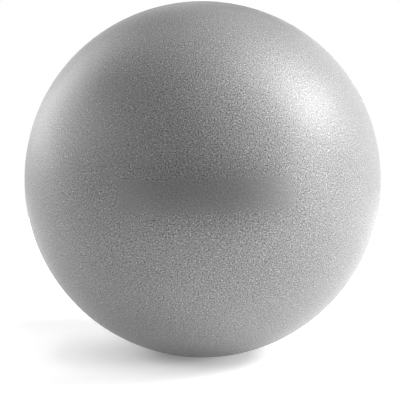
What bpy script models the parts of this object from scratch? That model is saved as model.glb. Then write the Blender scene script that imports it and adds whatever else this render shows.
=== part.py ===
"""A soft exercise ball: a hollow moulded vinyl skin, the valve socket bonded into its back, and the plug.

Metres, +Z up. The ball rests on the XY plane with its contact patch centred on the origin, and its valve
points along +Y. Every piece of the valve is turned about the valve axis, and its heights are measured along
that axis from the ball's centre.
"""

import math

import bmesh
import bpy

# The inflated skin
BALL_DIAMETER = 0.230
SKIN_WALL = 0.0010
FLOOR_FLAT_RADIUS = 0.016  # the ball's own weight presses this much of the soft skin flat
FLOOR_BLEND_RADIUS = 0.023  # the tighter curve on which the skin leaves the floor

# The thickened place that carries the valve
PAD_MARGIN = 0.0020  # how far the thick pad reaches past the socket's flange
PAD_STEP = 0.0008  # how far it stands in from the plain wall at its rim
RIDGE_WIDTH = 0.0022  # the low bead that rings the socket on the outside
RIDGE_HEIGHT = 0.0004

# The valve socket
BORE_MOUTH_DIAMETER = 0.0056
BORE_TAPER = 0.0004  # loss of radius from the seat to the inner end
SEAT_WIDTH = 0.0023  # the ledge under the plug's head
FACE_RING_WIDTH = 0.0049  # the flat ring round the head
FLANGE_OVERLAP = 0.0060  # how far the flange reaches under the skin
FLANGE_THICKNESS = 0.0015
NECK_WALL = 0.0024
NECK_TAPER = 0.0006
NECK_LENGTH = 0.0120
NECK_FILLET = 0.0012

# The plug
HEAD_THICKNESS = 0.0016
HEAD_DOME = 0.00025
DIMPLE_DIAMETER = 0.0026
DIMPLE_DEPTH = 0.0004
RING_COUNT = 3
RING_HEIGHT = 0.00035  # how far each sealing ring stands out of the stem
RING_WIDTH = 0.0011
TIP_LENGTH = 0.0030  # how far the rounded nose passes the neck

# Shared by all the pieces
FIT_GAP = 0.0003  # between pieces that seat on each other
EDGE_BREAK = 0.0003  # moulded edges are never sharp
CUT_MARGIN = 0.0040  # how far a cutter passes the wall
PAD_BITE = 0.25  # share of the wall's thickness that the pad sinks into it

SKIN_SEGMENTS = 56
VALVE_SEGMENTS = 32
CORNER_STEPS = 3
SMOOTH_ANGLE = math.radians(35)

# Worked out from the sizes above
ball_radius = BALL_DIAMETER / 2
inner_radius = ball_radius - SKIN_WALL
centre_height = FLOOR_BLEND_RADIUS + math.sqrt((ball_radius - FLOOR_BLEND_RADIUS) ** 2 - FLOOR_FLAT_RADIUS**2)

bore_mouth_radius = BORE_MOUTH_DIAMETER / 2
recess_radius = bore_mouth_radius + SEAT_WIDTH
head_radius = recess_radius - FIT_GAP
face_radius = recess_radius + FACE_RING_WIDTH
hole_radius = face_radius + FIT_GAP
flange_radius = hole_radius + FLANGE_OVERLAP
pad_radius = flange_radius + PAD_MARGIN


def height_on_sphere(sphere_radius, radius):
    """Height above the centre of the point of a sphere that lies this far from the axis."""
    return math.sqrt(sphere_radius**2 - radius**2)


face_height = height_on_sphere(ball_radius, face_radius)
head_underside = face_height - HEAD_THICKNESS
seat_height = head_underside - FIT_GAP
pad_face = height_on_sphere(inner_radius, pad_radius) - PAD_STEP
flange_top = pad_face - FIT_GAP
flange_underside = flange_top - FLANGE_THICKNESS
neck_end = flange_underside - NECK_LENGTH


def clear_scene():
    for thing in list(bpy.data.objects):
        bpy.data.objects.remove(thing)


def material(name, colour, roughness):
    """A plain non-metallic finish."""
    made = bpy.data.materials.new(name)
    made.use_nodes = True
    shader = made.node_tree.nodes["Principled BSDF"]
    shader.inputs["Base Color"].default_value = (*colour, 1.0)
    shader.inputs["Roughness"].default_value = roughness
    shader.inputs["Metallic"].default_value = 0.0
    return made


def arc(centre, radius, start, end, steps):
    """Points on an arc in the (radius, height) plane, from one angle to another, in degrees."""
    angles = [math.radians(start + (end - start) * step / steps) for step in range(steps + 1)]
    return [(centre[0] + radius * math.cos(a), centre[1] + radius * math.sin(a)) for a in angles]


def turned(name, profile, segments, closed=True):
    """An object made by spinning a profile of (radius, height) points round its own Z axis.

    A closed profile is a ring's section. An open one starts and ends on the axis.
    """
    shape = bmesh.new()
    points = [shape.verts.new((radius, 0.0, height)) for radius, height in profile]
    pairs = list(zip(points, points[1:]))
    if closed:
        pairs.append((points[-1], points[0]))
    edges = [shape.edges.new(pair) for pair in pairs]
    bmesh.ops.spin(
        shape,
        geom=points + edges,
        cent=(0.0, 0.0, 0.0),
        axis=(0.0, 0.0, 1.0),
        angle=2 * math.pi,
        steps=segments,
        use_merge=True,
    )
    bmesh.ops.remove_doubles(shape, verts=shape.verts, dist=1e-7)
    bmesh.ops.recalc_face_normals(shape, faces=shape.faces)
    mesh = bpy.data.meshes.new(name)
    shape.to_mesh(mesh)
    shape.free()
    mesh.shade_smooth()
    mesh.set_sharp_from_angle(angle=SMOOTH_ANGLE)
    made = bpy.data.objects.new(name, mesh)
    bpy.context.collection.objects.link(made)
    return made


def boolean(target, operation, other):
    """Joins another solid to the target or cuts it away, and keeps the other as a hidden guide."""
    modifier = target.modifiers.new(other.name, "BOOLEAN")
    modifier.operation = operation
    modifier.solver = "EXACT"
    modifier.object = other
    other.hide_render = True
    other.display_type = "WIRE"


def valve_axis():
    """An empty at the ball's centre whose own +Z points out through the valve, along the world's +Y."""
    axis = bpy.data.objects.new("valve_axis", None)
    axis.location = (0.0, 0.0, centre_height)
    axis.rotation_euler = (math.radians(-90), 0.0, 0.0)
    bpy.context.collection.objects.link(axis)
    return axis


def skin_profile():
    """The outside of the ball from the floor up: the flat, the blend that leaves it, and the sphere."""
    blend_centre = (FLOOR_FLAT_RADIUS, FLOOR_BLEND_RADIUS)
    rise = math.degrees(math.atan2(FLOOR_FLAT_RADIUS, centre_height - FLOOR_BLEND_RADIUS))
    step = 360 / SKIN_SEGMENTS
    lower = max(2, round((90 - rise) / step))
    upper = SKIN_SEGMENTS // 4
    centre = (0.0, centre_height)
    points = [(0.0, 0.0)]
    points += arc(blend_centre, FLOOR_BLEND_RADIUS, -90, rise - 90, CORNER_STEPS)
    points += arc(centre, ball_radius, rise - 90, 0, lower)[1:]
    points += arc(centre, ball_radius, 0, 90, upper)[1:-1]
    points.append((0.0, centre_height + ball_radius))
    return points


def pad_profile():
    """The thick pad under the skin and the bead round the valve, joined through the skin's wall."""
    dome_radius = inner_radius + PAD_BITE * SKIN_WALL
    rim_radius = pad_radius + PAD_STEP
    bead_outside = hole_radius + RIDGE_WIDTH
    bead_round = RIDGE_WIDTH / 2
    bead_middle = bead_outside - bead_round
    bead_centre = height_on_sphere(ball_radius, bead_middle) + RIDGE_HEIGHT - bead_round
    points = [(0.0, bead_centre + bead_round)]
    points += arc((bead_middle, bead_centre), bead_round, 90, 0, CORNER_STEPS)
    for step in range(CORNER_STEPS + 1):
        radius = bead_outside + (rim_radius - bead_outside) * step / CORNER_STEPS
        points.append((radius, height_on_sphere(dome_radius, radius)))
    points += [(pad_radius, pad_face), (0.0, pad_face)]
    return points


def hole_profile():
    """A round cutter that passes the bead and the pad."""
    top = ball_radius + RIDGE_HEIGHT + CUT_MARGIN
    bottom = pad_face - CUT_MARGIN
    return [(0.0, top), (hole_radius, top), (hole_radius, bottom), (0.0, bottom)]


def ball_skin(axis, finish):
    """The hollow skin, thickened inwards at the valve and opened there for the socket."""
    skin = turned("ball_skin", skin_profile(), SKIN_SEGMENTS, closed=False)
    skin.data.materials.append(finish)
    wall = skin.modifiers.new("wall", "SOLIDIFY")
    wall.thickness = SKIN_WALL
    wall.offset = -1.0
    wall.use_even_offset = True
    pad = turned("valve_pad_guide", pad_profile(), VALVE_SEGMENTS, closed=False)
    hole = turned("valve_hole_cutter", hole_profile(), VALVE_SEGMENTS, closed=False)
    for guide in (pad, hole):
        guide.parent = axis
    boolean(skin, "UNION", pad)
    boolean(skin, "DIFFERENCE", hole)
    return skin


def bore_radius(height):
    """Radius of the tapered bore at a height between the seat and the neck's end."""
    share = (seat_height - height) / (seat_height - neck_end)
    return bore_mouth_radius - BORE_TAPER * share


def socket_profile():
    """The flanged socket, from the bore's mouth out over the face, under the flange and down the neck."""
    flange_round = FLANGE_THICKNESS / 2
    neck_root = bore_mouth_radius + NECK_WALL
    neck_tip = neck_root - NECK_TAPER
    flange_rim = (flange_radius - flange_round, flange_top - flange_round)
    fillet_centre = (neck_root + NECK_FILLET, flange_underside - NECK_FILLET)
    lip_centre = (neck_tip - EDGE_BREAK, neck_end + EDGE_BREAK)
    points = [
        (bore_mouth_radius, seat_height - EDGE_BREAK),
        (bore_mouth_radius + EDGE_BREAK, seat_height),
        (recess_radius, seat_height),
        (recess_radius, face_height - EDGE_BREAK),
        (recess_radius + EDGE_BREAK, face_height),
        (face_radius - EDGE_BREAK, face_height),
        (face_radius, face_height - EDGE_BREAK),
        (face_radius, flange_top),
    ]
    points += arc(flange_rim, flange_round, 90, -90, 2 * CORNER_STEPS)
    points += arc(fillet_centre, NECK_FILLET, 90, 180, CORNER_STEPS)
    points += arc(lip_centre, EDGE_BREAK, 0, -90, CORNER_STEPS)
    points += [
        (bore_radius(neck_end) + EDGE_BREAK, neck_end),
        (bore_radius(neck_end), neck_end + EDGE_BREAK),
    ]
    return points


def valve_socket(axis, finish):
    socket = turned("valve_socket", socket_profile(), VALVE_SEGMENTS)
    socket.data.materials.append(finish)
    socket.parent = axis
    return socket


def ring_points(height):
    """A rounded sealing ring on the stem, walked from the head's side to the tip's side."""
    points = []
    for step in range(2 * CORNER_STEPS + 1):
        angle = math.pi * step / (2 * CORNER_STEPS)
        place = height + RING_WIDTH / 2 * math.cos(angle)
        core = bore_radius(place) - FIT_GAP - RING_HEIGHT
        points.append((core + RING_HEIGHT * math.sin(angle), place))
    return points


def plug_profile():
    """The plug from the dimple in its head, over the rim and down the ringed stem to its round nose."""
    dome_radius = (head_radius**2 + HEAD_DOME**2) / (2 * HEAD_DOME)
    dome_centre = face_height + HEAD_DOME - dome_radius
    dimple_radius = DIMPLE_DIAMETER / 2
    dimple_edge = dome_centre + height_on_sphere(dome_radius, dimple_radius)
    rim_edge = head_radius - EDGE_BREAK
    points = [
        (0.0, dimple_edge - DIMPLE_DEPTH),
        (dimple_radius / 2, dimple_edge - DIMPLE_DEPTH),
    ]
    for step in range(CORNER_STEPS + 1):
        radius = dimple_radius + (rim_edge - dimple_radius) * step / CORNER_STEPS
        points.append((radius, dome_centre + height_on_sphere(dome_radius, radius)))
    points += [
        (head_radius, face_height - EDGE_BREAK),
        (head_radius, head_underside + EDGE_BREAK),
        (rim_edge, head_underside),
    ]
    stem_root = bore_mouth_radius - FIT_GAP - RING_HEIGHT
    points += [
        (stem_root + EDGE_BREAK, head_underside),
        (stem_root, head_underside - EDGE_BREAK),
    ]
    pitch = (seat_height - neck_end) / (RING_COUNT + 1)
    for ring in range(RING_COUNT):
        points += ring_points(seat_height - pitch * (ring + 1))
    nose_radius = bore_radius(neck_end) - FIT_GAP - RING_HEIGHT
    nose_start = neck_end - max(TIP_LENGTH - nose_radius, 0.0)
    nose_length = TIP_LENGTH - (neck_end - nose_start)
    for step in range(2 * CORNER_STEPS):
        angle = math.pi / 2 * step / (2 * CORNER_STEPS)
        points.append((nose_radius * math.cos(angle), nose_start - nose_length * math.sin(angle)))
    points.append((0.0, nose_start - nose_length))
    return points


def valve_plug(axis, finish):
    """The push-in plug. Its origin lies on the valve axis, along which it pulls out."""
    plug = turned("valve_plug", plug_profile(), VALVE_SEGMENTS, closed=False)
    plug.data.materials.append(finish)
    plug.parent = axis
    return plug


def main():
    clear_scene()
    axis = valve_axis()
    ball_skin(axis, material("grained_grey_vinyl", (0.235, 0.235, 0.235), 0.45))
    valve_socket(axis, material("smooth_grey_vinyl", (0.19, 0.19, 0.19), 0.40))
    valve_plug(axis, material("pale_grey_polythene", (0.62, 0.62, 0.61), 0.38))


main()
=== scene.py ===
"""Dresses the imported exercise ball: its grained vinyl skin, the valve in its back and the valve's plug.

The file is laid out as an add-on and is run as a script. Metres, +Z up. The ball rests on the XY plane,
its valve points along +Y, and the side with the bare smooth panel faces -Y. Every piece is turned about
the valve axis, and heights are measured along that axis from the ball's centre.
"""

import math

import bmesh
import bpy
from bpy.props import FloatProperty, FloatVectorProperty, IntProperty, PointerProperty
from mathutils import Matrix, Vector


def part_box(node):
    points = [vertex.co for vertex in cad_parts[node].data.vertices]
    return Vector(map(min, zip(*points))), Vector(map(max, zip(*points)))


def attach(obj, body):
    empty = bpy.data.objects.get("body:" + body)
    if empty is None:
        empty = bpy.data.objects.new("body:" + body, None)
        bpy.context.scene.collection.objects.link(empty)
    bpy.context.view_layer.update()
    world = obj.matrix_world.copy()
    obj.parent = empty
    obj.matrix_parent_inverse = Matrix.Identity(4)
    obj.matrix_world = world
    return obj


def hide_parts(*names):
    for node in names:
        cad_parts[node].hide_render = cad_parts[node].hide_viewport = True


bl_info = {
    "name": "Exercise ball",
    "version": (1, 0, 0),
    "blender": (4, 5, 0),
    "location": "3D View > Sidebar > Ball",
    "description": "Models the skin, valve and plug of a soft exercise ball on its packed solids",
    "category": "Add Mesh",
}

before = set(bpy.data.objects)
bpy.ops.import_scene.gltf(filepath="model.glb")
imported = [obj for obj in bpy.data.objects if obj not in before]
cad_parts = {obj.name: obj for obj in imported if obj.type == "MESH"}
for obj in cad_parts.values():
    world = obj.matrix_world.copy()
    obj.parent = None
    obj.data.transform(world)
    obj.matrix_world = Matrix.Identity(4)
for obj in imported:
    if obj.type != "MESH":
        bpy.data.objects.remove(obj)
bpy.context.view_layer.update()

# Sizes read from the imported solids
SKIN_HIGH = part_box("ball_skin")[1]
SOCKET_LOW, SOCKET_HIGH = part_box("valve_socket")
PLUG_LOW, PLUG_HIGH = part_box("valve_plug")
BALL_RADIUS = SKIN_HIGH.x
CENTRE = Vector((0.0, 0.0, SKIN_HIGH.z - BALL_RADIUS))
VALVE_AXIS = Vector((0.0, 1.0, 0.0))

# How finely the pieces are made
ARC_STEPS = 6
START_RADIUS = 0.001
MERGE_DISTANCE = 1e-6
SMOOTH_ANGLE = math.radians(35)

# Relief of the vinyl: mean height of the pebbles, level of smooth vinyl, and the fine noise on each
PEBBLE_MEAN = 0.61
SMOOTH_LEVEL = PEBBLE_MEAN + 0.15
FINE_ON_GRAIN = 0.35
FINE_ON_SMOOTH = 0.06

# Tone of the vinyl, painted shade in the grain's creases mixed with random speckle: how far the second
# pebbles lie from the first, and the curve that spreads it
SPECKLE_SHIFT = 1.0
SPECKLE_CURVE = 2.2

# Soft clouds in the finishes: their pitch, and how much tone and roughness change in them
SKIN_CLOUDS = 0.035
SKIN_CLOUD_TONE = 0.03
SKIN_CLOUD_ROUGH = 0.06
MOULDED_CLOUDS = 0.006
MOULDED_CLOUD_TONES = (0.96, 1.03)
MOULDED_CLOUD_ROUGH = 0.04
CLOUD_DETAIL = 3.0

# Orange peel on moulded plastic
PEEL_PITCH = 0.0007
PEEL_HEIGHT = 0.00001

# The stage
PHOTO_SIDE = 400
FLOOR_SIDES = 96
FLOOR_GAP = 0.0002
SHADOW_CORE = 0.01
CARD_SHADE = 0.01
SOFTBOX_DISTANCE = 1.1
FLOOR_LIGHT_HEIGHT = 1.0
FLOOR_LIGHT_RADIUS = 0.06


# The settings that a user would change


def length(name, description, default):
    """A length in metres."""
    return FloatProperty(name=name, description=description, default=default, unit="LENGTH", precision=5)


def lengths(name, description, default):
    """Two lengths in metres."""
    return FloatVectorProperty(
        name=name, description=description, default=default, unit="LENGTH", size=2, precision=5
    )


def share(name, description, default):
    """A number from 0 to 1."""
    return FloatProperty(
        name=name, description=description, default=default, subtype="FACTOR", min=0.0, max=1.0
    )


def pixels(name, description, default):
    """A length in the picture."""
    return FloatProperty(name=name, description=description, default=default, subtype="PIXEL")


def angle(name, description, degrees):
    """An angle, given in degrees."""
    return FloatProperty(name=name, description=description, default=math.radians(degrees), subtype="ANGLE")


def colour(name, description, default):
    """A linear colour."""
    return FloatVectorProperty(name=name, description=description, default=default, subtype="COLOR", size=3)


def power(name, description, default):
    """A lamp's power in watts."""
    return FloatProperty(name=name, description=description, default=default, unit="POWER")


class SkinSettings(bpy.types.PropertyGroup):
    """Sizes and finish of the vinyl skin."""

    radius: length("Ball radius", "Radius of the inflated ball", BALL_RADIUS)
    wall: length("Wall", "Thickness of the skin", 0.0010)
    seam_width: length("Seam width", "Width of the parting line left by the mould", 0.0014)
    seam_height: length("Seam height", "How far the parting line stands proud", 0.00014)
    hole_radius: length("Hole radius", "Radius of the hole for the valve", 0.0103)
    bead_width: length("Bead width", "Width of the bead round the valve", 0.0022)
    bead_height: length("Bead height", "How far the bead stands proud of the ball", 0.0004)
    pad_radius: length("Pad radius", "Radius of the thick pad behind the valve", 0.0183)
    pad_step: length("Pad step", "How far the pad stands in from the wall at its rim", 0.0008)
    pressed_margin: length("Pressed margin", "Width of the soft edge round the flat on the floor", 0.004)
    segments: IntProperty(name="Segments", description="Faces round the valve axis", default=192, min=32)
    rings: IntProperty(name="Rings", description="Faces from the front to the valve", default=96, min=16)
    shade: colour("Colour", "Colour of the vinyl", (0.2332, 0.2332, 0.2332))
    grain_pitch: length("Grain pitch", "Distance between the pebbles of the grain", 0.00092)
    grain_height: length("Grain height", "Depth of the grain", 0.0001)
    # Painted shade in the grain's creases, mixed with random speckle
    crease_shade_contrast: share("Grain contrast", "How much the tone changes from pebble to crease", 0.51)
    grain_rough: share("Grain roughness", "Roughness of the grained vinyl", 0.36)
    gloss: share("Gloss", "How strongly the vinyl mirrors its surroundings", 0.32)
    panel_rough: share("Panel roughness", "Roughness of the smooth panel", 0.38)
    panel_polish: share("Panel polish", "How much of the grain is gone on the smooth panel", 0.6)
    panel_dark: share("Panel shade", "How dark the smooth panel is beside the grain", 0.98)
    panel_width: length("Panel width", "Width of the smooth panel, round the ball", 0.1086)
    panel_height: length("Panel height", "Height of the smooth panel, up the ball", 0.0197)
    panel_turn: angle("Panel turn", "How far the panel's middle lies round the ball to the right", 1.1)
    panel_rise: length("Panel rise", "How far the panel's middle lies above the ball's", 0.0066)
    panel_tilt: angle("Panel tilt", "How far the panel's right end is turned up", 1.4)
    panel_edge: length("Panel edge", "Width of the panel's soft edge", 0.0034)
    # Painted shade: a zone round the panel whose vinyl colour is darkened to stand in for shade
    painted_shade_middle: lengths("Dull zone middle", "The duller zone's middle from the panel's", (0.013, 0.004))
    painted_shade_size: lengths("Dull zone size", "Width and height of the duller zone", (0.146, 0.066))
    painted_shade_dark: share("Dull zone shade", "How dark the middle of the zone is beside the rest", 0.72)
    valve_ring: length("Valve ring", "Radius of the smooth ring round the valve", 0.0150)
    valve_ring_edge: length("Valve ring edge", "Width of the ring's soft edge", 0.0018)


class ValveSettings(bpy.types.PropertyGroup):
    """Sizes and finish of the valve socket and its plug."""

    bore_radius: length("Bore radius", "Radius of the bore at its mouth", 0.0028)
    bore_taper: length("Bore taper", "Loss of radius from the seat to the inner end", 0.0004)
    recess_radius: length("Recess radius", "Radius of the recess that takes the plug's head", 0.0051)
    face_radius: length("Face radius", "Radius of the socket's outer face", 0.0100)
    flange_thickness: length("Flange", "Thickness of the flange under the skin", 0.0015)
    flange_gap: length("Flange gap", "Distance from the pad to the flange", 0.0003)
    neck_wall: length("Neck wall", "Thickness of the neck at its root", 0.0024)
    neck_taper: length("Neck taper", "Loss of radius down the neck", 0.0006)
    neck_fillet: length("Neck fillet", "Radius where the neck meets the flange", 0.0012)
    head_thickness: length("Head", "Thickness of the plug's head at its rim", 0.0016)
    dome: length("Head dome", "How far the head rises at its middle", 0.00025)
    dimple_radius: length("Dimple radius", "Radius of the dimple in the head", 0.0013)
    dimple_depth: length("Dimple depth", "Depth of the dimple in the head", 0.0004)
    ring_height: length("Ring height", "How far a sealing ring stands out", 0.00035)
    ring_width: length("Ring width", "Width of a sealing ring", 0.0011)
    ring_count: IntProperty(name="Rings", description="Sealing rings on the stem", default=3, min=1)
    gap: length("Gap", "Clearance between the plug and the socket", 0.0003)
    edge: length("Edge", "Radius of the moulded edges", 0.0003)
    segments: IntProperty(name="Segments", description="Faces round the valve axis", default=96, min=24)
    socket_shade: colour("Socket colour", "Colour of the socket's vinyl", (0.19, 0.19, 0.19))
    socket_rough: share("Socket roughness", "Roughness of the socket", 0.40)
    plug_shade: colour("Plug colour", "Colour of the plug's polythene", (0.62, 0.62, 0.61))
    plug_rough: share("Plug roughness", "Roughness of the plug", 0.38)


class StageSettings(bpy.types.PropertyGroup):
    """The camera, the floor and the light."""

    camera_rise: angle("Camera rise", "Height of the camera over the ball's middle", 8.5)
    camera_distance: length("Camera distance", "Distance from the camera to the ball's middle", 1.3)
    ball_pixels: pixels("Ball in the picture", "Radius of the ball in the picture", 178.14)
    ball_right: pixels("Ball across", "The ball's middle from the left of the picture", 202.57)
    ball_down: pixels("Ball down", "The ball's middle from the top of the picture", 179.44)
    floor_radius: length("Floor radius", "Radius of the white floor", 0.55)
    floor_fade: length("Floor fade", "Radius at which the floor begins to fade into white", 0.30)
    # Painted shadow on the floor: its white glow for the camera is least at the deepest place and grows to
    # the lift at the reach
    painted_shadow_reach: length("Floor reach", "Radius at which the floor has all of its lift", 0.083)
    painted_shadow_middle: lengths("Deepest shadow", "Place of the least lift, from the ball's", (-0.034, -0.003))
    floor_shade: share("Floor shade", "How white the floor is", 0.86)
    floor_lift: share("Floor lift", "White added to the floor for the camera, round the ball", 0.468)
    painted_shadow_lift: share("Floor contact", "White added to the floor for the camera, under the ball", 0.19)
    card_distance: length("Card distance", "How far before and behind the ball the cards stand", 0.60)
    card_width: length("Card width", "Width of the dark cards", 0.8)
    card_low: length("Card height", "Height at which the card behind the ball begins", 0.52)
    rim_card_low: length("Rim card height", "Height at which the top rim's card begins", 0.30)
    rim_card_right: length("Rim card reach", "How far to the right the top rim's card reaches", 0.25)
    key_power: power("Key light", "Soft light from the right", 18.6)
    high_power: power("High light", "Soft light from high on the right", 4.4)
    low_power: power("Low light", "Low soft light from the right, a little before the ball", 6.0)
    back_power: power("Back light", "Wide soft light from behind on the left", 8.4)
    crown_power: power("Crown light", "Small soft light from high behind on the left", 1.0)
    left_power: power("Left light", "Soft light from the left", 2.4)
    fore_power: power("Fore light", "Soft light from before the ball on the left", 2.2)
    right_floor_power: power("Right floor light", "Light on the floor before the ball on the right", 48)
    front_floor_power: power("Front floor light", "Light on the floor before the ball", 24)
    left_floor_power: power("Left floor light", "Light on the floor beside the ball on the left", 28)
    fill: share("Fill", "Even light from all around", 0.0)


# Modelling by hand, with Blender's own operators


def deselect():
    """Leaves nothing selected, in object mode."""
    if bpy.context.mode != "OBJECT":
        bpy.ops.object.mode_set(mode="OBJECT")
    bpy.ops.object.select_all(action="DESELECT")


def arc(centre, radius, start, end, steps):
    """Points on an arc in the (radius, height) plane, from one angle to another, in degrees."""
    angles = [math.radians(start + (end - start) * step / steps) for step in range(steps + 1)]
    return [(centre[0] + radius * math.cos(a), centre[1] + radius * math.sin(a)) for a in angles]


def height_on_sphere(sphere_radius, radius):
    """Height over the centre of the point of a sphere that lies this far from the axis."""
    return math.sqrt(sphere_radius**2 - radius**2)


def beside_axis(point):
    """A (radius, height) point as a place in the plane beside the valve axis."""
    radius, height = point
    return CENTRE + Vector((radius, height, 0.0))


def turned(name, profile, segments):
    """A closed piece: a profile of (radius, height) points, drawn and spun about the valve axis.

    The profile runs from the axis to the axis, or back to its own start.
    """
    deselect()
    bpy.ops.mesh.primitive_circle_add(vertices=3, radius=START_RADIUS, location=beside_axis(profile[0]))
    piece = bpy.context.object
    piece.name = piece.data.name = name
    bpy.ops.object.transform_apply(location=True, rotation=True, scale=True)
    bpy.ops.object.mode_set(mode="EDIT")
    bpy.ops.mesh.select_all(action="SELECT")
    bpy.ops.mesh.merge(type="CENTER")
    for here, there in zip(profile, profile[1:]):
        step = beside_axis(there) - beside_axis(here)
        bpy.ops.mesh.extrude_region_move(TRANSFORM_OT_translate={"value": step})
    bpy.ops.mesh.select_all(action="SELECT")
    bpy.ops.mesh.spin(steps=segments, angle=2 * math.pi, center=CENTRE, axis=VALVE_AXIS)
    bpy.ops.mesh.select_all(action="SELECT")
    bpy.ops.mesh.remove_doubles(threshold=MERGE_DISTANCE)
    bpy.ops.mesh.normals_make_consistent(inside=False)
    bpy.ops.object.mode_set(mode="OBJECT")
    bpy.ops.object.shade_smooth_by_angle(angle=SMOOTH_ANGLE)
    return piece


def select_where(piece, test):
    """Selects the vertices of a piece in edit mode whose place passes a test."""
    bpy.ops.mesh.select_mode(type="VERT")
    bpy.ops.mesh.select_all(action="DESELECT")
    mesh = bmesh.from_edit_mesh(piece.data)
    for vertex in mesh.verts:
        vertex.select_set(test(vertex.co))
    mesh.select_flush_mode()
    bmesh.update_edit_mesh(piece.data)


def press_flat(piece, level, test):
    """Presses the selected part of a piece onto a level plane."""
    select_where(piece, test)
    bpy.ops.transform.resize(value=(1.0, 1.0, 0.0), center_override=(0.0, 0.0, level))


def must_be_closed(piece):
    """Stops the script if a piece has an open edge."""
    mesh = bmesh.new()
    mesh.from_mesh(piece.data)
    open_edges = [edge for edge in mesh.edges if not edge.is_manifold]
    mesh.free()
    if open_edges:
        raise RuntimeError(f"{piece.name} has {len(open_edges)} open edges")


def finish_piece(piece, finish, body, node):
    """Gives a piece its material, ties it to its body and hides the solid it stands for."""
    must_be_closed(piece)
    piece.data.materials.clear()
    piece.data.materials.append(finish)
    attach(piece, body)
    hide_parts(node)


# Materials


class Finish:
    """A material's nodes, added one by one."""

    def __init__(self, name):
        self.material = bpy.data.materials.new(name)
        self.material.use_nodes = True
        self.tree = self.material.node_tree
        self.shader = self.tree.nodes["Principled BSDF"]

    def add(self, kind, **settings):
        """A new node with its own settings."""
        node = self.tree.nodes.new("ShaderNode" + kind)
        for name, value in settings.items():
            setattr(node, name, value)
        return node

    def feed(self, socket, value):
        """Links another node's output to a socket, or sets the socket to a value."""
        if isinstance(value, bpy.types.NodeSocket):
            self.tree.links.new(value, socket)
        else:
            socket.default_value = value

    def sum(self, operation, *values):
        """One step of arithmetic."""
        node = self.add("Math", operation=operation)
        for socket, value in zip(node.inputs, values):
            self.feed(socket, value)
        return node.outputs["Value"]

    def ramp(self, value, low, high, out_low, out_high):
        """A smooth change from one value to another between two limits."""
        node = self.add("MapRange", interpolation_type="SMOOTHSTEP")
        limits = {"Value": value, "From Min": low, "From Max": high, "To Min": out_low, "To Max": out_high}
        for name, limit in limits.items():
            self.feed(node.inputs[name], limit)
        return node.outputs["Result"]

    def blend(self, amount, first, second):
        """A number between two others."""
        node = self.add("Mix", data_type="FLOAT")
        for socket, value in zip(node.inputs[:1] + node.inputs[2:4], (amount, first, second)):
            self.feed(socket, value)
        return node.outputs[0]

    def place(self, turn=0.0):
        """The piece's own coordinates, measured from the ball's centre and turned about the valve axis."""
        node = self.add("Mapping", vector_type="POINT")
        node.inputs["Location"].default_value = (0.0, 0.0, -CENTRE.z)
        self.feed(node.inputs["Vector"], self.add("TexCoord").outputs["Object"])
        if not turn:
            return node.outputs["Vector"]
        turner = self.add("VectorRotate", rotation_type="Y_AXIS")
        self.feed(turner.inputs["Vector"], node.outputs["Vector"])
        turner.inputs["Angle"].default_value = turn
        return turner.outputs["Vector"]

    def noise(self, place, pitch, detail=2.0):
        """Soft noise from 0 to 1 with a given distance between its lumps."""
        node = self.add("TexNoise")
        self.feed(node.inputs["Vector"], place)
        node.inputs["Scale"].default_value = 1.0 / pitch
        node.inputs["Detail"].default_value = detail
        return node.outputs[0]

    def laid_flat(self, place):
        """The ball's skin unrolled from the middle of its front, or of its back, for a flat pattern."""
        axes = self.add("SeparateXYZ")
        self.feed(axes.inputs["Vector"], place)
        across, back, up = axes.outputs
        squares = [self.sum("MULTIPLY", axis, axis) for axis in (across, up)]
        out = self.sum("SQRT", self.sum("ADD", *squares))
        turn = self.sum("ARCTAN2", out, self.sum("ABSOLUTE", back))
        stretch = self.sum("DIVIDE", self.sum("MULTIPLY", turn, BALL_RADIUS), out)
        flat = self.add("CombineXYZ")
        self.feed(flat.inputs["X"], self.sum("MULTIPLY", across, stretch))
        self.feed(flat.inputs["Y"], self.sum("MULTIPLY", up, stretch))
        return flat.outputs["Vector"]

    def pebbles(self, flat, pitch, shift=0.0):
        """Rounded pebbles, 1 on top and 0 in the deepest creases. A shift gives a different set of them."""
        moved = self.add("VectorMath", operation="ADD")
        self.feed(moved.inputs[0], flat)
        moved.inputs[1].default_value = (shift, shift, 0.0)
        node = self.add("TexVoronoi", feature="F1", voronoi_dimensions="2D")
        self.feed(node.inputs["Vector"], moved.outputs["Vector"])
        node.inputs["Scale"].default_value = 1.0 / pitch
        return self.sum("SUBTRACT", 1.0, node.outputs["Distance"])

    def grey(self, value, tint):
        """A colour whose brightness varies over the surface."""
        node = self.add("VectorMath", operation="SCALE")
        node.inputs[0].default_value = tint
        self.feed(node.inputs["Scale"], value)
        return node.outputs["Vector"]

    def bump(self, height, depth):
        """Raises the surface by a height from 0 to 1, times a depth in metres."""
        node = self.add("Bump")
        node.inputs["Strength"].default_value = 1.0
        node.inputs["Distance"].default_value = depth
        self.feed(node.inputs["Height"], height)
        self.feed(self.shader.inputs["Normal"], node.outputs["Normal"])


def front_place(finish, skin):
    """How far a place lies across the front of the ball from the panel's middle, and how far above it."""
    axes = finish.add("SeparateXYZ")
    finish.feed(axes.inputs["Vector"], finish.place(skin.panel_tilt))
    front = finish.sum("MULTIPLY", axes.outputs["Y"], -1.0)
    turn = finish.sum("ARCTAN2", axes.outputs["X"], front)
    across = finish.sum("MULTIPLY", finish.sum("SUBTRACT", turn, skin.panel_turn), skin.radius)
    up = finish.sum("SUBTRACT", axes.outputs["Z"], skin.panel_rise)
    return across, up


def smooth_panel(finish, skin, across, up):
    """1 on the smooth panel at the front of the ball, 0 elsewhere."""
    half_edge = skin.panel_edge / 2
    sides = []
    for offset, size in ((across, skin.panel_width), (up, skin.panel_height)):
        distance = finish.sum("ABSOLUTE", offset)
        sides.append(finish.ramp(distance, size / 2 - half_edge, size / 2 + half_edge, 1.0, 0.0))
    return finish.sum("MULTIPLY", *sides)


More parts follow.
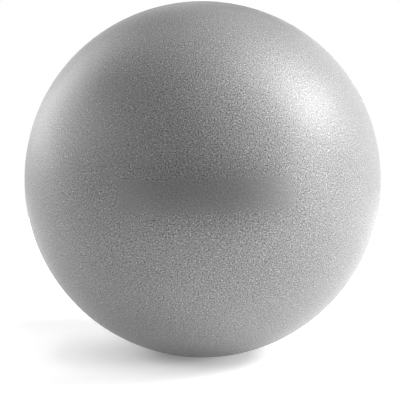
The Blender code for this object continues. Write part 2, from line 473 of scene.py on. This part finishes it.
def painted_shade_zone(finish, skin, across, up):
    """1 in the middle of the zone of painted shade round the panel, 0 outside it."""
    squares = []
    for offset, middle, size in zip((across, up), skin.painted_shade_middle, skin.painted_shade_size):
        distance = finish.sum("DIVIDE", finish.sum("SUBTRACT", offset, middle), size / 2)
        squares.append(finish.sum("POWER", distance, 2.0))
    return finish.ramp(finish.sum("SQRT", finish.sum("ADD", *squares)), 0.0, 1.0, 1.0, 0.0)


def smooth_valve_ring(finish, skin):
    """1 on the smooth ring round the valve, 0 elsewhere."""
    axes = finish.add("SeparateXYZ")
    finish.feed(axes.inputs["Vector"], finish.place())
    height = axes.outputs["Y"]
    behind = finish.ramp(height, 0.0, skin.radius / 2, 0.0, 1.0)
    square = finish.sum("SUBTRACT", skin.radius**2, finish.sum("POWER", height, 2.0))
    outer = skin.valve_ring + skin.valve_ring_edge
    ring = finish.ramp(finish.sum("SQRT", square), skin.valve_ring, outer, 1.0, 0.0)
    return finish.sum("MULTIPLY", behind, ring)


def grained_vinyl(skin):
    """Satin grey vinyl with a fine pebbled grain, smooth on the bare panel and round the valve, with
    painted shade in the grain's creases and round the panel.
    """
    finish = Finish("pebbled_vinyl")
    place = finish.place()
    across, up = front_place(finish, skin)
    panel = smooth_panel(finish, skin, across, up)
    painted_shade = painted_shade_zone(finish, skin, across, up)
    polished = finish.sum("MULTIPLY", panel, skin.panel_polish)
    smooth = finish.sum("MAXIMUM", polished, smooth_valve_ring(finish, skin))
    flat = finish.laid_flat(place)
    height = finish.pebbles(flat, skin.grain_pitch)
    fine = finish.noise(place, skin.grain_pitch / 3)
    clouds = finish.noise(place, SKIN_CLOUDS, CLOUD_DETAIL)
    grained = finish.sum("MULTIPLY_ADD", fine, FINE_ON_GRAIN, height)
    polished_relief = finish.sum("MULTIPLY_ADD", fine, FINE_ON_SMOOTH, SMOOTH_LEVEL)
    finish.bump(finish.blend(smooth, grained, polished_relief), skin.grain_height)
    # Painted shade: the creases of the bumped pebbles are darker, mixed with random speckle from a second
    # set of pebbles
    crease_shade_and_speckle = finish.sum("SUBTRACT", height, finish.pebbles(flat, skin.grain_pitch, SPECKLE_SHIFT))
    spread = finish.sum("MULTIPLY_ADD", crease_shade_and_speckle, skin.crease_shade_contrast, 1.0)
    tone = finish.blend(smooth, finish.sum("POWER", spread, SPECKLE_CURVE), 1.0)
    cloudy = finish.ramp(clouds, 0.25, 0.75, 1.0 - SKIN_CLOUD_TONE, 1.0 + SKIN_CLOUD_TONE)
    tone = finish.sum("MULTIPLY", tone, cloudy)
    # The smooth panel's own tone, and painted shade darkening the vinyl round the panel
    for zone, dark in ((panel, skin.panel_dark), (painted_shade, skin.painted_shade_dark)):
        tone = finish.sum("MULTIPLY", tone, finish.blend(zone, 1.0, dark))
    finish.feed(finish.shader.inputs["Base Color"], finish.grey(tone, skin.shade))
    rough = finish.sum("MULTIPLY_ADD", clouds, SKIN_CLOUD_ROUGH, skin.grain_rough - SKIN_CLOUD_ROUGH / 2)
    finish.feed(finish.shader.inputs["Roughness"], finish.blend(smooth, rough, skin.panel_rough))
    finish.shader.inputs["Specular IOR Level"].default_value = skin.gloss
    return finish.material


def moulded(name, shade, rough):
    """Smooth moulded plastic with faint clouds and a hint of orange peel."""
    finish = Finish(name)
    place = finish.place()
    clouds = finish.noise(place, MOULDED_CLOUDS, CLOUD_DETAIL)
    finish.bump(finish.noise(place, PEEL_PITCH), PEEL_HEIGHT)
    tone = finish.ramp(clouds, 0.3, 0.7, *MOULDED_CLOUD_TONES)
    cloudy_rough = finish.ramp(clouds, 0.3, 0.7, rough - MOULDED_CLOUD_ROUGH, rough + MOULDED_CLOUD_ROUGH)
    finish.feed(finish.shader.inputs["Base Color"], finish.grey(tone, shade))
    finish.feed(finish.shader.inputs["Roughness"], cloudy_rough)
    return finish.material


# The outlines of the pieces


def pad_face(skin):
    """Height of the flat inner face of the pad that carries the valve."""
    return height_on_sphere(skin.radius - skin.wall, skin.pad_radius) - skin.pad_step


def skin_profile(skin):
    """The skin from its front over the outside to the valve, through the hole and back inside."""
    middle = (0.0, 0.0)
    seam = math.degrees(skin.seam_width / 2 / skin.radius)
    bead_round = skin.bead_width / 2
    bead_middle = skin.hole_radius + bead_round
    bead_centre = height_on_sphere(skin.radius, bead_middle) + skin.bead_height - bead_round
    bead_foot = math.degrees(math.acos((bead_middle + bead_round) / skin.radius))
    half = skin.rings // 2
    points = arc(middle, skin.radius, -90, -seam, half)
    points += arc(middle, skin.radius + skin.seam_height, -seam / 2, seam / 2, 2)
    points += arc(middle, skin.radius, seam, bead_foot, half)
    points += arc((bead_middle, bead_centre), bead_round, 20, 180, 2 * ARC_STEPS)
    face = pad_face(skin)
    points += [(skin.hole_radius, face), (skin.pad_radius, face)]
    inside = skin.radius - skin.wall
    rim = math.degrees(math.acos((skin.pad_radius + skin.pad_step) / inside))
    points += arc(middle, inside, rim, -90, half)
    return points


def socket_profile(valve, flange_top):
    """The flanged socket, from the bore's mouth over the face and the flange, down the neck and back."""
    face = SOCKET_HIGH.y
    seat = face - valve.head_thickness - valve.gap
    neck_end = SOCKET_LOW.y
    flange_round = valve.flange_thickness / 2
    flange_rim = (SOCKET_HIGH.x - flange_round, flange_top - flange_round)
    neck_root = valve.bore_radius + valve.neck_wall
    neck_tip = neck_root - valve.neck_taper
    bore_end = valve.bore_radius - valve.bore_taper
    underside = flange_top - valve.flange_thickness
    edge = valve.edge
    points = arc((valve.bore_radius + edge, seat - edge), edge, 180, 90, ARC_STEPS)
    points += [(valve.recess_radius, seat)]
    points += arc((valve.recess_radius + edge, face - edge), edge, 180, 90, ARC_STEPS)
    points += arc((valve.face_radius - edge, face - edge), edge, 90, 0, ARC_STEPS)
    points += [(valve.face_radius, flange_top)]
    points += arc(flange_rim, flange_round, 90, -90, 2 * ARC_STEPS)
    fillet = (neck_root + valve.neck_fillet, underside - valve.neck_fillet)
    points += arc(fillet, valve.neck_fillet, 90, 180, ARC_STEPS)
    points += arc((neck_tip - edge, neck_end + edge), edge, 0, -90, ARC_STEPS)
    points += arc((bore_end + edge, neck_end + edge), edge, -90, -180, ARC_STEPS)
    points.append(points[0])
    return points


def plug_profile(valve):
    """The plug from the dimple in its head, over the rim and down the ringed stem to its round nose."""
    face = SOCKET_HIGH.y
    head_radius = PLUG_HIGH.x
    seat = face - valve.head_thickness - valve.gap
    neck_end = SOCKET_LOW.y
    edge = valve.edge

    def stem(height):
        """Radius of the stem between its rings."""
        depth = (seat - height) / (seat - neck_end)
        return valve.bore_radius - valve.bore_taper * depth - valve.gap - valve.ring_height

    dome_radius = (head_radius**2 + valve.dome**2) / (2 * valve.dome)
    dome_centre = face + valve.dome - dome_radius
    rim = math.degrees(math.acos((head_radius - edge) / dome_radius))
    lip = math.degrees(math.acos(valve.dimple_radius / dome_radius))
    lip_height = dome_centre + height_on_sphere(dome_radius, valve.dimple_radius)
    cup = (valve.dimple_radius**2 + valve.dimple_depth**2) / (2 * valve.dimple_depth)
    cup_edge = math.degrees(math.asin(valve.dimple_radius / cup))
    points = arc((0.0, lip_height - valve.dimple_depth + cup), cup, -90, cup_edge - 90, ARC_STEPS)
    points += arc((0.0, dome_centre), dome_radius, lip, rim, ARC_STEPS)[1:]
    points += arc((head_radius - edge, face - edge), edge, 60, 0, ARC_STEPS)
    underside = face - valve.head_thickness
    points += arc((head_radius - edge, underside + edge), edge, 0, -90, ARC_STEPS)
    root = stem(underside)
    points += arc((root + edge, underside - edge), edge, 90, 180, ARC_STEPS)
    pitch = (seat - neck_end) / (valve.ring_count + 1)
    for ring in range(valve.ring_count):
        middle = seat - pitch * (ring + 1)
        for step in range(2 * ARC_STEPS + 1):
            turn = math.pi * step / (2 * ARC_STEPS)
            height = middle + valve.ring_width / 2 * math.cos(turn)
            points.append((stem(height) + valve.ring_height * math.sin(turn), height))
    nose = stem(neck_end)
    nose_centre = PLUG_LOW.y + nose
    points += arc((0.0, nose_centre), nose, 0, -90, 2 * ARC_STEPS)
    return points


# The operators


class BALL_OT_skin(bpy.types.Operator):
    """Turn the hollow skin, press it flat where it stands and give it its grain"""

    bl_idname = "ball.skin"
    bl_label = "Skin"

    def execute(self, context):
        skin = context.scene.ball_skin
        piece = turned("grained_skin", skin_profile(skin), skin.segments)
        shell = skin.radius - skin.wall / 2
        bpy.ops.object.mode_set(mode="EDIT")
        press_flat(piece, 0.0, lambda at: at.z < 0.0 and (at - CENTRE).length > shell)
        press_flat(piece, skin.wall, lambda at: at.z < skin.wall and (at - CENTRE).length < shell)
        pressed = math.sqrt(skin.radius**2 - CENTRE.z**2)
        near, far = pressed - skin.pressed_margin / 2, pressed + skin.pressed_margin / 2
        select_where(piece, lambda at: at.z < 0.5 * skin.radius and near < math.hypot(at.x, at.y) < far)
        bpy.ops.mesh.vertices_smooth(factor=0.5, repeat=2)
        bpy.ops.object.mode_set(mode="OBJECT")
        finish_piece(piece, grained_vinyl(skin), "ball", "ball_skin")
        return {"FINISHED"}


class BALL_OT_socket(bpy.types.Operator):
    """Turn the flanged valve socket that is bonded into the skin's pad"""

    bl_idname = "ball.socket"
    bl_label = "Valve socket"

    def execute(self, context):
        valve = context.scene.ball_valve
        flange_top = pad_face(context.scene.ball_skin) - valve.flange_gap
        piece = turned("socket", socket_profile(valve, flange_top), valve.segments)
        finish = moulded("socket_vinyl", valve.socket_shade, valve.socket_rough)
        finish_piece(piece, finish, "ball", "valve_socket")
        return {"FINISHED"}


class BALL_OT_plug(bpy.types.Operator):
    """Turn the plug with its flush head and its ringed stem"""

    bl_idname = "ball.plug"
    bl_label = "Valve plug"

    def execute(self, context):
        valve = context.scene.ball_valve
        piece = turned("plug", plug_profile(valve), valve.segments)
        finish = moulded("plug_plastic", valve.plug_shade, valve.plug_rough)
        finish_piece(piece, finish, "plug", "valve_plug")
        return {"FINISHED"}


# The stage


def studio_camera(stage):
    """A camera that sees the ball where the photograph has it."""
    rise = stage.camera_rise
    back = Vector((0.0, -math.cos(rise), math.sin(rise)))
    up = Vector((0.0, math.sin(rise), math.cos(rise)))
    right = Vector((1.0, 0.0, 0.0))
    reach = math.sqrt(stage.camera_distance**2 - BALL_RADIUS**2)
    metres_per_pixel = BALL_RADIUS * stage.camera_distance / reach / stage.ball_pixels
    across = (stage.ball_right - PHOTO_SIDE / 2) * metres_per_pixel
    down = (stage.ball_down - PHOTO_SIDE / 2) * metres_per_pixel
    aim = CENTRE - right * across + up * down
    deselect()
    bpy.ops.object.camera_add(location=CENTRE + back * stage.camera_distance)
    camera = bpy.context.object
    camera.name = "studio_camera"
    camera.rotation_euler = (aim - camera.location).to_track_quat("-Z", "Y").to_euler()
    half_view = stage.ball_pixels / (PHOTO_SIDE / 2)
    camera.data.lens = camera.data.sensor_width / 2 * half_view * reach / BALL_RADIUS
    bpy.context.scene.camera = camera


def seen_by_eye(tree):
    """1 for the rays of the camera, and for those that gloss and glass send on, 0 for others."""
    paths = tree.nodes.new("ShaderNodeLightPath")
    seen = paths.outputs["Is Camera Ray"]
    for name in ("Is Glossy Ray", "Is Transmission Ray"):
        either = tree.nodes.new("ShaderNodeMath")
        either.operation = "MAXIMUM"
        tree.links.new(seen, either.inputs[0])
        tree.links.new(paths.outputs[name], either.inputs[1])
        seen = either.outputs["Value"]
    return seen


def plain_finish(name, shade):
    """A dull colour without gloss."""
    finish = Finish(name)
    finish.shader.inputs["Base Color"].default_value = (shade, shade, shade, 1.0)
    finish.shader.inputs["Roughness"].default_value = 1.0
    finish.shader.inputs["Specular IOR Level"].default_value = 0.0
    return finish


def studio_floor(stage):
    """A round white floor that takes the ball's shadow, deepened by a painted shadow in its glow, and fades
    into the white round it.
    """
    deselect()
    bpy.ops.mesh.primitive_circle_add(
        vertices=FLOOR_SIDES, radius=stage.floor_radius, fill_type="NGON", location=(0.0, 0.0, -FLOOR_GAP)
    )
    floor = bpy.context.object
    floor.name = "studio_floor"
    bpy.ops.object.transform_apply(location=True, rotation=True, scale=True)
    finish = plain_finish("studio_floor", stage.floor_shade)
    # Painted shadow: the floor's glow for the camera is least under the ball and grows away from it
    away = finish.add("VectorMath", operation="DISTANCE")
    finish.feed(away.inputs[0], finish.add("TexCoord").outputs["Object"])
    away.inputs[1].default_value = (*stage.painted_shadow_middle, 0.0)
    distance = away.outputs["Value"]
    near = finish.ramp(distance, SHADOW_CORE, stage.painted_shadow_reach, stage.painted_shadow_lift, stage.floor_lift)
    rim = stage.floor_radius - math.hypot(*stage.painted_shadow_middle)
    far = finish.ramp(distance, stage.floor_fade, rim, 0.0, 1.0)
    lift = finish.sum("MULTIPLY", seen_by_eye(finish.tree), finish.sum("MAXIMUM", near, far))
    finish.shader.inputs["Emission Color"].default_value = (1.0, 1.0, 1.0, 1.0)
    finish.feed(finish.shader.inputs["Emission Strength"], lift)
    floor.data.materials.append(finish.material)


def dark_card(name, distance, low, high, left, right):
    """A dark card before or behind the ball, out of the camera's sight, that keeps its sheen down."""
    deselect()
    middle = ((left + right) / 2, distance, (low + high) / 2)
    bpy.ops.mesh.primitive_plane_add(size=1.0, location=middle, rotation=(math.pi / 2, 0.0, 0.0))
    card = bpy.context.object
    card.name = name
    card.scale = (right - left, high - low, 1.0)
    bpy.ops.object.transform_apply(location=True, rotation=True, scale=True)
    card.data.materials.append(plain_finish(name, CARD_SHADE).material)
    card.visible_camera = False


def round_the_ball(turn, rise, distance):
    """A place round the ball: turned from the camera's side to the right, and raised, both in degrees."""
    turn, rise = math.radians(turn), math.radians(rise)
    right = math.sin(turn) * math.cos(rise)
    back = -math.cos(turn) * math.cos(rise)
    return Vector((right, back, math.sin(rise))) * distance


def softbox(name, watts, turn, rise, width, height, roll=0.0):
    """A soft light that faces the ball. Its turn, rise and roll are in degrees."""
    place = round_the_ball(turn, rise, SOFTBOX_DISTANCE)
    deselect()
    bpy.ops.object.light_add(type="AREA", location=CENTRE + place)
    lamp = bpy.context.object
    lamp.name = lamp.data.name = name
    lamp.rotation_euler = (-place).to_track_quat("-Z", "Y").to_euler()
    lamp.rotation_euler.rotate_axis("Z", math.radians(roll))
    lamp.data.shape = "RECTANGLE"
    lamp.data.size = width
    lamp.data.size_y = height
    lamp.data.energy = watts
    lamp.visible_camera = False


def floor_light(name, watts, turn, distance, spread):
    """A narrow light that shines straight down on the floor. Its turn and spread are in degrees."""
    place = round_the_ball(turn, 0, distance)
    deselect()
    bpy.ops.object.light_add(type="SPOT", location=(place.x, place.y, FLOOR_LIGHT_HEIGHT))
    lamp = bpy.context.object
    lamp.name = lamp.data.name = name
    lamp.data.spot_size = math.radians(spread)
    lamp.data.spot_blend = 1.0
    lamp.data.shadow_soft_size = FLOOR_LIGHT_RADIUS
    lamp.data.energy = watts


def studio_world(stage):
    """White to the eye, and an even fill for the rest."""
    world = bpy.data.worlds.new("studio")
    world.use_nodes = True
    background = world.node_tree.nodes["Background"]
    background.inputs["Color"].default_value = (1.0, 1.0, 1.0, 1.0)
    level = world.node_tree.nodes.new("ShaderNodeMapRange")
    world.node_tree.links.new(seen_by_eye(world.node_tree), level.inputs["Value"])
    level.inputs["To Min"].default_value = stage.fill
    level.inputs["To Max"].default_value = 1.0
    world.node_tree.links.new(level.outputs["Result"], background.inputs["Strength"])
    bpy.context.scene.world = world


class BALL_OT_stage(bpy.types.Operator):
    """Set up the white floor, the soft light and the camera"""

    bl_idname = "ball.stage"
    bl_label = "Stage"

    def execute(self, context):
        stage = context.scene.ball_stage
        context.scene.view_settings.view_transform = "Standard"
        studio_camera(stage)
        studio_floor(stage)
        studio_world(stage)
        half = stage.card_width / 2
        behind, low = stage.card_distance, stage.card_low
        rim_low, rim_right = stage.rim_card_low, stage.rim_card_right
        dark_card("front_card", -behind, low=0.0, high=0.9, left=-half, right=half)
        dark_card("back_card", behind, low=low, high=1.2, left=-half, right=half)
        dark_card("rim_card", behind, low=rim_low, high=low, left=0.02, right=rim_right)
        softbox("key_light", stage.key_power, turn=91, rise=35, width=0.52, height=0.52)
        softbox("high_light", stage.high_power, turn=90, rise=60, width=0.42, height=0.42)
        softbox("low_light", stage.low_power, turn=65, rise=6, width=0.42, height=0.42)
        softbox("back_light", stage.back_power, turn=240, rise=16, width=1.04, height=0.74, roll=-12)
        softbox("crown_light", stage.crown_power, turn=212, rise=44, width=0.34, height=0.34)
        softbox("left_light", stage.left_power, turn=284, rise=26, width=0.60, height=0.50)
        softbox("fore_light", stage.fore_power, turn=325, rise=30, width=0.42, height=0.42)
        floor_light("right_floor_light", stage.right_floor_power, turn=42, distance=0.26, spread=16)
        floor_light("front_floor_light", stage.front_floor_power, turn=352, distance=0.25, spread=14)
        floor_light("left_floor_light", stage.left_floor_power, turn=275, distance=0.32, spread=26)
        return {"FINISHED"}


# The panel, and what adds it all to Blender


class BALL_PT_maker(bpy.types.Panel):
    """Lists the pieces of the ball and their settings."""

    bl_label = "Exercise ball"
    bl_idname = "BALL_PT_maker"
    bl_space_type = "VIEW_3D"
    bl_region_type = "UI"
    bl_category = "Ball"

    def draw(self, context):
        groups = (
            (context.scene.ball_skin, (BALL_OT_skin,)),
            (context.scene.ball_valve, (BALL_OT_socket, BALL_OT_plug)),
            (context.scene.ball_stage, (BALL_OT_stage,)),
        )
        for settings, operators in groups:
            box = self.layout.box()
            for operator in operators:
                box.operator(operator.bl_idname)
            for name in settings.__annotations__:
                box.prop(settings, name)


SETTINGS = {"ball_skin": SkinSettings, "ball_valve": ValveSettings, "ball_stage": StageSettings}
OPERATORS = (BALL_OT_skin, BALL_OT_socket, BALL_OT_plug, BALL_OT_stage)


def register():
    """Adds the settings, the operators and the panel."""
    for name, group in SETTINGS.items():
        bpy.utils.register_class(group)
        setattr(bpy.types.Scene, name, PointerProperty(type=group))
    for made in (*OPERATORS, BALL_PT_maker):
        bpy.utils.register_class(made)


def unregister():
    """Takes the panel, the operators and the settings away again."""
    for made in (BALL_PT_maker, *reversed(OPERATORS)):
        bpy.utils.unregister_class(made)
    for name, group in SETTINGS.items():
        delattr(bpy.types.Scene, name)
        bpy.utils.unregister_class(group)


def main():
    """Models the ball and its stage."""
    register()
    bpy.ops.ball.skin()
    bpy.ops.ball.socket()
    bpy.ops.ball.plug()
    bpy.ops.ball.stage()


if __name__ == "__main__":
    main()
